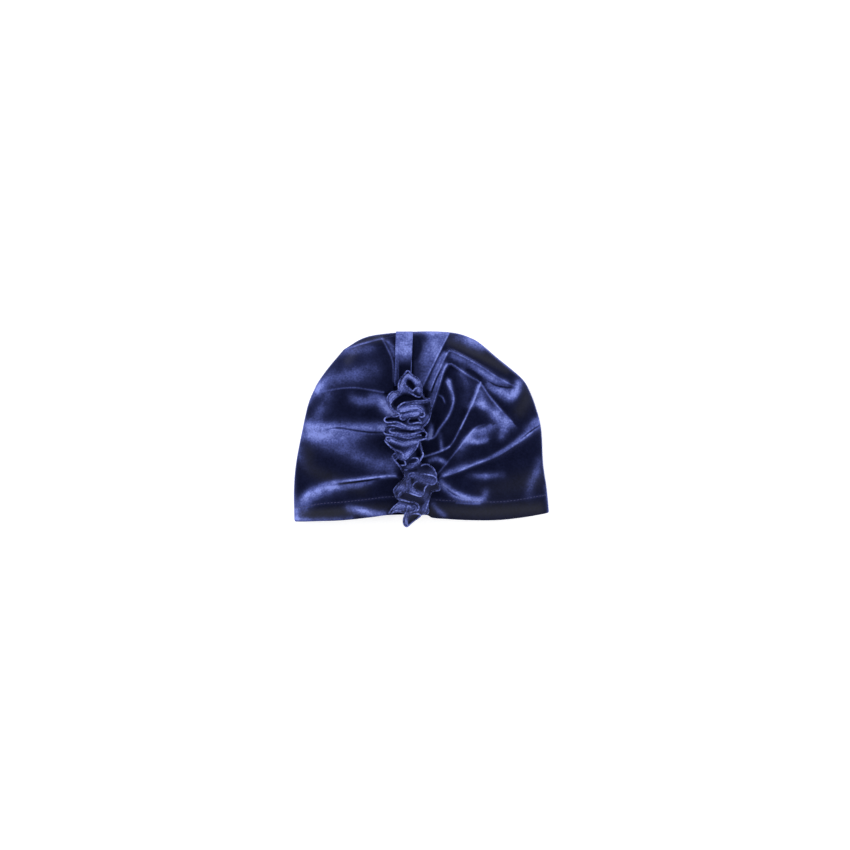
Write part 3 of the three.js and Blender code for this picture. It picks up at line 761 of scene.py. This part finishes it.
        (-16.2, -97.2, 2.5), (-14, -96.8, 2.5), (-14.7, -93.4, 4), (-14.6, -88.6, 5.5), (-13, -85, 7),
        (-11, -83, 8)],
        [(2, 0), (2, 1), (1, 2), (1, 0), (1, 0)]),
    "tail_right": ([(-13.4, -96.4, 2.5), (-8.9, -92.6, 3.5), (-4.6, -89.2, 4.5), (-1.2, -86.2, 5.5),
        (-4.4, -84.1, 7), (-8.1, -83.9, 7.5), (-11.4, -85.2, 7)],
        [(-1, 2), (-2, 2), (-2, -1), (0, -2)]),
}

# The gathered part seen from above, once round
GATHER_EDGE = [
    (-13.4, 57), (-9.3, 53), (-4.2, 50), (-1, 47), (0.9, 41), (0.8, 35), (3, 30.5), (8.5, 30.5),
    (9.6, 25), (9.2, 17), (8.2, 10.5), (5, 5), (1.4, 0.8), (3.8, -2.8), (5.6, -6), (3.8, -9.6),
    (-1.2, -13), (0.6, -20), (1.6, -26), (-2, -32.5), (1, -35.4), (5.6, -34.9), (10, -37.4),
    (13.6, -41), (15.6, -46.6), (15.8, -52), (17.8, -57), (17.9, -60.7), (10, -62.8), (8, -69),
    (6.4, -75), (7, -82), (4.6, -85.5), (0, -86.4), (-6, -91), (-13, -96.6), (-16.4, -97.8),
    (-18.4, -94), (-18.8, -89), (-17.4, -84.8), (-24, -83.4), (-33, -84.8), (-31.6, -80.8),
    (-27, -76.2), (-22.6, -72), (-26.2, -68), (-28.4, -61.2), (-24, -55), (-17.6, -48.4), (-18.2, -45),
    (-22.4, -37.6), (-27, -32), (-29.2, -27.6), (-26, -23.6), (-29, -20.2), (-34, -16.2),
    (-37.4, -11.6), (-36, -7.4), (-38.2, -2.8), (-36, 2), (-33, 4.4), (-36.2, 5.6), (-37.6, 8.6),
    (-35.8, 11.6), (-30, 12.8), (-25, 15.4), (-29.4, 19), (-31.2, 22.6), (-33.4, 26), (-34.8, 30.4),
    (-30.2, 36.6), (-24.2, 38), (-23.8, 43), (-20.8, 50), (-17.8, 54),
]

# Where the gathered folds are lighter, from the pile and from highlights painted on their faces, or, at a
# minus, darker, with shade painted into the gaps
GATHER_BRUSHED_AND_PAINTED_LIGHT = [
    ([(-20.8, 44.5), (-18.5, 50), (-14, 53.4), (-8.6, 50.6), (-4.4, 47)], [0.6, 0.9, 1, 0.9, 0.7], 3, 3.6),
    ([(-12.4, 45.4), (-9.4, 41.2)], [-0.5, -0.5], 2.8, 2.8),
    ([(-20, 40.6), (-15, 37.6), (-9, 34.6)], [0.35, 0.3, 0.15], 2, 3),
    ([(-4, 38.4), (-1.6, 35)], [0.6, 0.5], 2.2, 2),
    ([(-33, 29.6), (-28.4, 33.6), (-23, 36.6)], [1, 1.1, 0.9], 4, 4.4),
    ([(-31.4, 27.6), (-31, 22.6)], [0.4, 0.3], 2, 2),
    ([(-25, 25), (-18, 30.5), (-6, 30), (2, 31.4)], [-0.4, -0.5, -0.4, -0.3], 4, 4),
    ([(-21.5, 18.6), (-14, 20.2), (-6, 20.8), (-1, 18.4)], [0.8, 1, 1, 0.7], 2.3, 2.2),
    ([(-14, 25.4), (0, 26.4), (7, 28.4)], [0.35, 0.45, 0.5], 1.4, 1.6),
    ([(-19.4, 12.6), (-11, 14.8), (-4.4, 15.2)], [0.5, 0.6, 0.75], 1.4, 2),
    ([(3.6, 22), (5.4, 16)], [-0.2, -0.2], 2.5, 2.5),
    ([(6.4, 10.4), (3, 5.4)], [0.45, 0.4], 2.4, 2.4),
    ([(-34.4, 9), (-28, 9.2), (-18, 7)], [-0.4, -0.3, -0.3], 1.6, 1.6),
    ([(-11, 7.6), (-5, 8)], [-0.3, -0.3], 1.6, 1.6),
    ([(-24, 3.8), (-14, 1.2), (-3, 1.6)], [0.35, 0.4, 0.45], 1.5, 1.5),
    ([(-28, -1.8), (-18, -2.4), (-8, -3)], [-0.1, -0.3, -0.3], 1.2, 1.2),
    ([(-29, -5), (-18, -7), (-6, -6.2)], [0.5, 0.6, 0.5], 1.3, 1.3),
    ([(0, -5), (3, -6)], [-0.4, -0.5], 1.8, 1.8),
    ([(-30, -10.8), (-22, -13.8), (-16, -15), (-8, -13), (-2, -12.2)], [0.7, 1, 1.1, 1, 0.6], 1.5, 2.2),
    ([(-30, -16), (-22, -19)], [-0.15, -0.1], 2.5, 2.5),
    ([(-16.6, -28.6), (-12.8, -24.6), (-8.6, -20), (-6, -16)], [0.9, 0.75, 0.5, 0.3], 3.4, 1.5),
    ([(-26.8, -26.4), (-21.4, -26.8)], [0.4, 0.3], 2, 2.4),
    ([(-23.4, -32.6), (-19.6, -33.8)], [-0.4, -0.4], 1.4, 1.8),
    ([(-5.4, -20), (-3.2, -26)], [-0.2, -0.3], 2.4, 2.4),
    ([(-14, -37.8), (-7, -35.8), (-2.4, -30.6)], [0.4, 0.4, 0.35], 2, 2),
    ([(-12, -42), (-6, -41)], [-0.2, -0.25], 2, 2),
    ([(-1, -40), (5, -39.6), (11, -43)], [-0.1, -0.12, 0.08], 3, 3),
    ([(-10, -46), (-2, -48.2), (6, -50), (11, -52.4)], [0.35, 0.25, 0.1, 0.3], 3, 3),
    ([(-9.6, -50.2), (-9.4, -53)], [-0.5, -0.4], 1.3, 1.3),
    ([(-12.4, -51), (-12.6, -58)], [0.35, 0.4], 2, 2),
    ([(-4, -56.6), (0.6, -58.6)], [-0.25, -0.25], 3, 3),
    ([(-10.4, -61), (-5, -63.6), (0, -63.8)], [0.5, 0.55, 0.3], 2.2, 2),
    ([(11, -58.6), (14, -57)], [-0.35, -0.35], 2.8, 3),
    ([(-26, -59.2), (-21, -57.4), (-17, -60)], [0.65, 0.65, 0.4], 2.8, 3.2),
    ([(-22.6, -66), (-21, -64)], [0.9, 0.8], 1.3, 1.3),
    ([(-16, -67), (-6, -69.4), (-0.6, -73)], [-0.15, -0.2, -0.12], 3, 3),
    ([(5.4, -66), (3.6, -74), (1.6, -80)], [0.2, 0.4, 0.4], 2.4, 2.6),
    ([(-27.6, -78.4), (-22, -76), (-17, -76.6)], [0.75, 0.8, 0.6], 2.4, 3),
    ([(-26, -83.6), (-19.6, -83.4)], [-0.2, -0.25], 1.2, 1.6),
    ([(-13, -78), (-6, -79)], [0.4, 0.35], 2.6, 2.6),
    ([(-15, -84.5), (-16.4, -90), (-16, -95.6)], [0.6, 0.75, 0.6], 1.8, 1.8),
    ([(-11, -92), (-7, -87.6)], [-0.3, -0.35], 2.4, 2.4),
]

# Crests whose painted highlight is stronger, or weaker, than the others'
CREST_PAINTED_HIGHLIGHTS = [
    ([(8, -46), (13.4, -48.4), (14.4, -51.4), (12, -54.6)], [0.2, 0.5, 0.5, 0.3], 2, 2),
    ([(-11, -64), (-1, -66.6), (3, -59)], [0.25, 0.3, 0.25], 2, 2),
    ([(-36, 8.6), (-28, 6.4), (-18, 3.6)], [0.2, 0.2, 0.1], 2, 2),
    ([(-20, 49), (-14, 56)], [-0.2, -0.15], 3, 3),
    ([(-4, 50), (0, 44)], [-0.25, -0.2], 3, 3),
    ([(-24, -35), (-18, -45)], [-0.2, -0.2], 3, 3),
    ([(-18, -50), (-27, -59)], [-0.15, -0.15], 3, 3),
    ([(8, 22), (8, 10)], [-0.25, -0.1], 3, 3),
]
FOOT = PLATEAU - 5.0  # the band's foot, down in the centre seam
WALL_NAP = 0.12  # on the band's standing sides
# Half the band's thickness at shares of its height, with a rolled top
BAND_SECTION = [(0.0, 0.55), (0.4, 0.55), (0.75, 0.6), (0.9, 0.68), (0.97, 0.6), (1.0, 0.32)]
GATHER_PITCH = 0.55  # between the vertices of the cloth that hangs between the crests
DRAPE_SLOPE = 0.85  # of that cloth, down from a crest
WALL_SLOPE = 9  # of its steep outer side


def lobe_shell(crest, lean, seed):
    """The doubled band along one lobe, with a soft rolled crest: its vertices, faces and nap, with a
    highlight painted along the crest.
    """
    length = travelled(spline(crest, 200))[-1]
    count = int(length / 0.6)
    top = spline(crest, count)
    shift = spline(lean, count)
    s = np.linspace(0, length, count)
    top[:, 0] += 0.16 * np.sin(s / 2.3 + seed)
    top[:, 1] += 0.16 * np.sin(s / 1.9 + 2 * seed)
    top[:, 2] += 0.35 * np.sin(s / 3.7 + 3 * seed)
    foot = np.column_stack([top[:, :2] + shift, FOOT - 6 * smooth(top[:, 1], -80, -90)])
    top[:, 2] += PLATEAU
    along = np.gradient(top, axis=0)
    up = top - foot
    out = np.cross(along, up)
    out /= np.linalg.norm(out, axis=1)[:, None]
    plump = 1 + 0.15 * np.sin(s / 4.1 + 5 * seed)
    # The highlight painted along the crest: waving in strength, set by the crest strokes, and weaker on the
    # lower band.
    painted_crest_light = 0.5 + 0.2 * np.sin(s / 3.1 + 7 * seed) + 0.12 * np.sin(1.7 * s + 3 * seed)
    dimmed_highlight_zone = smooth(top[:, 1], -36, -50) * smooth(top[:, 1], -78, -66)
    painted_crest_light = painted_crest_light + strokes(CREST_PAINTED_HIGHLIGHTS, top[:, 0], top[:, 1]) - 0.16 * dimmed_highlight_zone
    sections = [(a, -b) for a, b in BAND_SECTION] + [(a, b) for a, b in reversed(BAND_SECTION)]
    rings = []
    nap = []
    for a, b in sections:
        rings.append(foot + up * a + out * (b * plump)[:, None])
        nap.append(WALL_NAP + smooth(a, 0.9, 0.98) * painted_crest_light)
    vertices = np.stack(rings, 1).reshape(-1, 3)
    sides = len(sections)
    return vertices, tube_faces(count, sides), np.stack(nap, 1).ravel()


def depth_inside(edge, x, y):
    """How far each point lies inside a closed outline, negative outside it."""
    loop = np.asarray(list(edge) + [edge[0]], float)
    away = np.full(x.shape, 1e9)
    inside = np.zeros(x.shape, bool)
    for a, b in zip(loop, loop[1:]):
        away = np.minimum(away, np.hypot(*off_segment(a, b, x, y)[1:]))
        if a[1] != b[1]:
            edge_x = (b[0] - a[0]) * (y - a[1]) / (b[1] - a[1]) + a[0]
            inside ^= ((a[1] > y) != (b[1] > y)) & (x < edge_x)
    return np.where(inside, away, -away)


def blurred(values, rounds):
    """values with each point drawn towards its neighbours."""
    for _ in range(rounds):
        wide = np.pad(values, 1, mode="edge")
        values = (wide[:-2, 1:-1] + wide[2:, 1:-1] + wide[1:-1, :-2] + wide[1:-1, 2:] + 4 * values) / 8
    return values


def gathered_folds():
    """The cloth that hangs in soft valleys between the band's crests: vertices, faces and nap, with painted
    shade in the valleys and painted highlights and shade from strokes.
    """
    x, y = np.meshgrid(np.arange(-40, 20, GATHER_PITCH), np.arange(-99.5, 59, GATHER_PITCH))
    top = np.full(x.shape, -20.0)
    for crest, _ in LOBES.values():
        for px, py, pz in spline(crest, 40):
            top = np.maximum(top, pz - 0.9 - DRAPE_SLOPE * np.hypot(x - px, y - py))
    top = blurred(top, 3) + 0.25 * np.sin(x / 1.7 + y / 2.9) * np.sin(y / 1.3 - x / 3.1)
    inset = depth_inside(GATHER_EDGE, x, y)
    wall = -3 - 7 * smooth(y, -80, -88) + WALL_SLOPE * np.maximum(inset, 0)
    z = PLATEAU + np.minimum(top, wall)
    # Painted shade: the lower the cloth hangs below the crests, the darker; the strokes add painted
    # highlights and shade. Lighter towards the tail.
    nap = 0.22 + 0.025 * (top - 12) + strokes(GATHER_BRUSHED_AND_PAINTED_LIGHT, x, y)
    nap = nap + 0.18 * smooth(y, -72, -82) + 0.1 * smooth(y, -84, -92)
    nap = nap * (1 + 0.22 * np.sin(1.9 * x + 0.7 * y) * np.sin(2.3 * y - 0.5 * x))
    nap = WALL_NAP + (nap - WALL_NAP) * smooth(wall - top, -7, -1)
    inward_y, inward_x = np.gradient(inset, GATHER_PITCH)
    outside = np.minimum(inset, 0)
    x, y = x - outside * inward_x, y - outside * inward_y
    kept = inset > -0.5
    number = np.cumsum(kept.ravel()) - 1
    quads = np.array(grid_faces(*x.shape))
    quads = quads[kept.ravel()[quads].all(axis=1)]
    vertices = np.stack([x, y, z], -1)[kept]
    return vertices, number[quads].tolist(), np.clip(nap, 0.1 * smooth(y, -36, -50), 1)[kept]


def joined(parts):
    """One list of vertices, of faces and of nap and painted-light values from several."""
    vertices, faces, naps, first = [], [], [], 0
    for part_vertices, part_faces, part_nap in parts:
        vertices.append(part_vertices)
        naps.append(part_nap)
        faces += [[first + k for k in face] for face in part_faces]
        first += len(part_vertices)
    return np.vstack(vertices), faces, np.concatenate(naps)


def closed_sheet(vertices, faces, nap):
    """A sheet seen from above, with an underside CLOTH below it and its rim closed."""
    count = len(vertices)
    edges = {(a, b) for face in faces for a, b in zip(face, face[1:] + face[:1])}
    rim = [[b, a, a + count, b + count] for a, b in edges if (b, a) not in edges]
    under = [[k + count for k in reversed(face)] for face in faces]
    both = np.vstack([vertices, vertices - (0, 0, CLOTH)])
    return both, faces + under + rim, np.concatenate([nap, nap])


def ruffle_band():
    """The ruched band, one piece: its standing crests, and the cloth between them."""
    parts = [lobe_shell(crest, lean, i + 1) for i, (crest, lean) in enumerate(LOBES.values())]
    vertices, faces, nap = joined([*parts, closed_sheet(*gathered_folds())])
    grey = 0.4 * smooth(vertices[:, 1], -34, -58) + 1.1 * smooth(vertices[:, 1], -76, -90)
    return add_object("ruched_band", vertices, faces, velvet, nap=nap, grey=grey)


# ---------------------------------------------------------------- crown strip

STRIP_TOP = 97.3  # y of the strip's end, over the crown edge
STRIP_BEND = 96.4  # y where it bends over
STRIP_FOOT = 42  # y of its other end, inside the ruffle
STRIP_CLOTH = 1.4  # doubled


def crown_strip():
    """A flat strip, folded under along both edges, from the crown seam into the ruffle."""
    columns = 40
    c = np.linspace(-1, 1, columns)
    over = np.linspace(0, 1, 10)[:-1]
    bend = STRIP_TOP - 0.9 * over**2
    lengthways = np.concatenate([bend, np.linspace(STRIP_BEND, STRIP_FOOT, 90)])
    share = np.concatenate([over, np.ones(90)])
    rows, naps = [], []
    for y, t in zip(lengthways, share):
        w = (97 - y) / 55
        x = -17.5 - 1.75 * w + (8.5 - 0.25 * w) * c
        lie = max(drop(px, min(y, STRIP_BEND), FOLD) for px in x[::5])
        z = (FOLD - 1) * (1 - t) + lie * t + 0.8 + 1.1 * (1 - np.abs(c) ** 4) * t
        z = z - 1.3 * np.exp(-(((c + 0.58) * 8.5) ** 2)) * smooth(w, 0.15, 0.4)
        z = z - 2.2 * smooth(w, 0.5, 0.85) * (1 - c**2)
        rows.append(np.column_stack([x, np.full(columns, y), z]))
        # Painted highlights along the strip's turned-under edges and over the band left of its tuck, lower
        # down; its upper part is lighter, brushed nap.
        rim = np.maximum(smooth(np.abs(c), 0.86, 0.97), 0.7 * smooth(c, -0.42, -0.58) * smooth(w, 0.3, 0.45))
        naps.append(np.maximum(0.70 * (1 - smooth(w, 0.38, 0.66)) + 0.04, 0.6 * rim))
    faces = [face[::-1] for face in grid_faces(len(rows), columns)]
    piece = add_object("crown_band", np.vstack(rows), faces, velvet, nap=np.concatenate(naps))
    return thicken(piece, STRIP_CLOTH, -1)


# ---------------------------------------------------------------- stitches and elastics

STITCH = 2.6  # length of one stitch
STITCH_GAP = 0.8
THREAD_RADIUS = 0.3
TACK_RADIUS = 0.36
TAPE = 0.9  # thickness of the elastics


def tube(points, radius, sides=6):
    """A closed tube along a few points: its vertices and faces, and no nap."""
    p = np.asarray(points, float)
    along = np.gradient(p, axis=0)
    along /= np.linalg.norm(along, axis=1)[:, None]
    out = np.cross(along, (0, 0, 1.0))
    out /= np.maximum(np.linalg.norm(out, axis=1), 1e-6)[:, None]
    up = np.cross(out, along)
    taper = np.ones(len(p))
    taper[[0, -1]] = 0.45
    angles = np.arange(sides) * 2 * math.pi / sides
    rings = [
        centre + radius * t * (np.cos(angles)[:, None] * o + np.sin(angles)[:, None] * n)
        for centre, t, o, n in zip(p, taper, out, up)
    ]
    return np.vstack(rings), tube_faces(len(p), sides), np.zeros(len(p) * sides)


def stitch_row(name, line):
    """A row of separate stitches along a line. Each dips into the cloth at both ends."""
    along = travelled(line)
    parts = []
    for start in np.arange(0, along[-1] - STITCH, STITCH + STITCH_GAP):
        at = np.linspace(start, start + STITCH, 5)
        points = np.column_stack([np.interp(at, along, line[:, k]) for k in range(3)])
        points[:, 2] -= 0.35 * np.array([1, 0.25, 0, 0.25, 1])
        parts.append(tube(points, THREAD_RADIUS))
    vertices, faces, _ = joined(parts)
    return add_object(name, vertices, faces, thread)


def layer_line(surface, us, vs, depth):
    """Points of a layer along given u and v."""
    u, v = np.broadcast_arrays(np.asarray(us, float), np.asarray(vs, float))
    x, y, z, _ = surface(u, v, np.full(u.shape, float(depth)))
    return np.column_stack([x, y, z])


def bar_tack(name, x, y, z):
    """A block of dense satin stitches, side by side."""
    parts = []
    for i in range(13):
        across = x - 4 + 8 * i / 12
        points = [(across - 0.1, y - 1.0, z - 0.3), (across, y - 0.5, z + 0.25), (across, y, z + 0.4),
                  (across, y + 0.5, z + 0.25), (across + 0.1, y + 1.0, z - 0.3)]
        parts.append(tube(points, TACK_RADIUS))
    vertices, faces, _ = joined(parts)
    return add_object(name, vertices, faces, thread)


def tape(name, middle, half_u, half_v, closed):
    """A woven tape from a list of (surface, u, v, depth) along its middle line."""
    low, high = [
        np.array([layer_line(s, u + side * half_u, v + side * half_v, depth)[0] for s, u, v, depth in middle])
        for side in (-1, 1)
    ]
    rows = [low * (1 - w) + high * w for w in np.linspace(0, 1, 9)]
    vertices = np.stack(rows, 1).reshape(-1, 3)
    faces = grid_faces(len(middle), len(rows))
    if closed:
        last = (len(middle) - 1) * len(rows)
        faces += [[last + k, last + k + 1, k + 1, k] for k in range(len(rows) - 1)]
    return thicken(add_object(name, vertices, faces, elastic), TAPE, 0)


# ---------------------------------------------------------------- making everything

make_camera()
make_studio()
velvet = velvet_material()
lining = lining_material()
elastic = elastic_material()
thread = thread_material()


def finish_piece(piece, slot, *nodes):
    """Rides piece on the cap and hides the nodes it stands in for. slot is not used."""
    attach(piece, "root")
    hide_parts(*nodes)
    return piece


def make_front(name, node, u_low, u_high):
    """One half of the front, finished."""
    panel = velvet_panel(name, front_surface, u_low, u_high, FRONT_SPACING)
    return finish_piece(panel, "velvet", node)


CENTRE_U = u_at(SEAM_X)
left_front = make_front("left_front_velvet", "left_front_panel", 0.0, CENTRE_U)
right_front = make_front("right_front_velvet", "right_front_panel", CENTRE_U, 1.0)
back = velvet_panel("back_velvet", back_surface, 0.0, 1.0, BACK_SPACING)
finish_piece(back, "velvet", "back_panel")
front_lining = finish_piece(lining_panel("front_jersey", front_surface, 5.5), "lining", "front_lining")
back_lining = finish_piece(lining_panel("back_jersey", back_surface, 3.2), "lining", "back_lining")

depsgraph = bpy.context.evaluated_depsgraph_get()
fronts = [BVHTree.FromObject(piece, depsgraph) for piece in (left_front, right_front)]


def drop(x, y, fallback):
    """Height of the front velvet's outer face at x and y, in millimetres."""
    above = Vector((x * MM, y * MM, 0.2))
    hits = [tree.ray_cast(above, Vector((0, 0, -1)))[0] for tree in fronts]
    return max([hit.z / MM for hit in hits if hit is not None], default=fallback)


band = finish_piece(ruffle_band(), "velvet", "ruffle_band")
strip = finish_piece(crown_strip(), "velvet", "crown_strip")

# How far inside the velvet's outer face the stitches lie
ON_TOP = -0.25
INSIDE = CLOTH + 0.6
BACK_INSIDE = HEM_GAP + CLOTH + 0.3
left_us = np.linspace(0.004, u_at(-25), 160)
right_us = np.linspace(u_at(14), 0.996, 160)
back_us = np.linspace(0.06, 0.94, 300)
crown_us = np.linspace(0.03, 0.97, 200)
side_vs = np.linspace(HEM_V + 0.02, 0.97, 200)
ruffle_vs = np.linspace(HEM_V + 0.02, 0.78, 160)

# Each row of stitches: its name, its node, and the layer, u, v and depth it runs along
STITCHING = [
    ("left_hem_stitches", "left_hem_topstitch", front_surface, left_us, stitch_v(left_us), ON_TOP),
    ("right_hem_stitches", "right_hem_topstitch", front_surface, right_us, stitch_v(right_us), ON_TOP),
    ("back_hem_stitches", "back_hem_topstitch", back_surface, back_us, HEM_V - 0.008, BACK_INSIDE),
    ("left_side_stitches", "left_side_seam_thread", front_surface, 0.0, side_vs, INSIDE),
    ("right_side_stitches", "right_side_seam_thread", front_surface, 1.0, side_vs, INSIDE),
    ("crown_stitches", "crown_seam_thread", front_surface, crown_us, 0.992, INSIDE),
    ("left_ruffle_stitches", "left_ruffle_seam_thread", front_surface, u_at(SEAM_X - 5), ruffle_vs, INSIDE),
    ("right_ruffle_stitches", "right_ruffle_seam_thread", front_surface, u_at(SEAM_X + 5), ruffle_vs, INSIDE),
]
for name, node, *where in STITCHING:
    finish_piece(stitch_row(name, layer_line(*where)), "thread", node)

TOP_TACK_Y = 60
top_tack = bar_tack("ruffle_top_stitches", SEAM_X, TOP_TACK_Y, drop(SEAM_X, TOP_TACK_Y, PLATEAU) + 0.3)
bottom_tack = bar_tack("ruffle_bottom_stitches", SEAM_X, -79, PLATEAU - HEM_GAP - 5.5)
finish_piece(top_tack, "thread", "ruffle_top_tack")
finish_piece(bottom_tack, "thread", "ruffle_bottom_tack")

TAPE_V = 0.048  # v of the hem elastic's middle
ring = [(front_surface, u, TAPE_V, HEM_GAP / 2) for u in np.linspace(0.004, 0.996, 120)]
ring += [(back_surface, u, TAPE_V, HEM_GAP / 2) for u in np.linspace(0.996, 0.004, 120)]
hem_tape = finish_piece(tape("hem_tape", ring, 0.0, 0.026, True), "elastic", "hem_elastic")
run = [(front_surface, CENTRE_U, v, CLOTH + 0.5) for v in np.linspace(0.10, 0.76, 120)]
centre_tape = finish_piece(tape("centre_tape", run, 0.016, 0.0, False), "elastic", "centre_elastic")
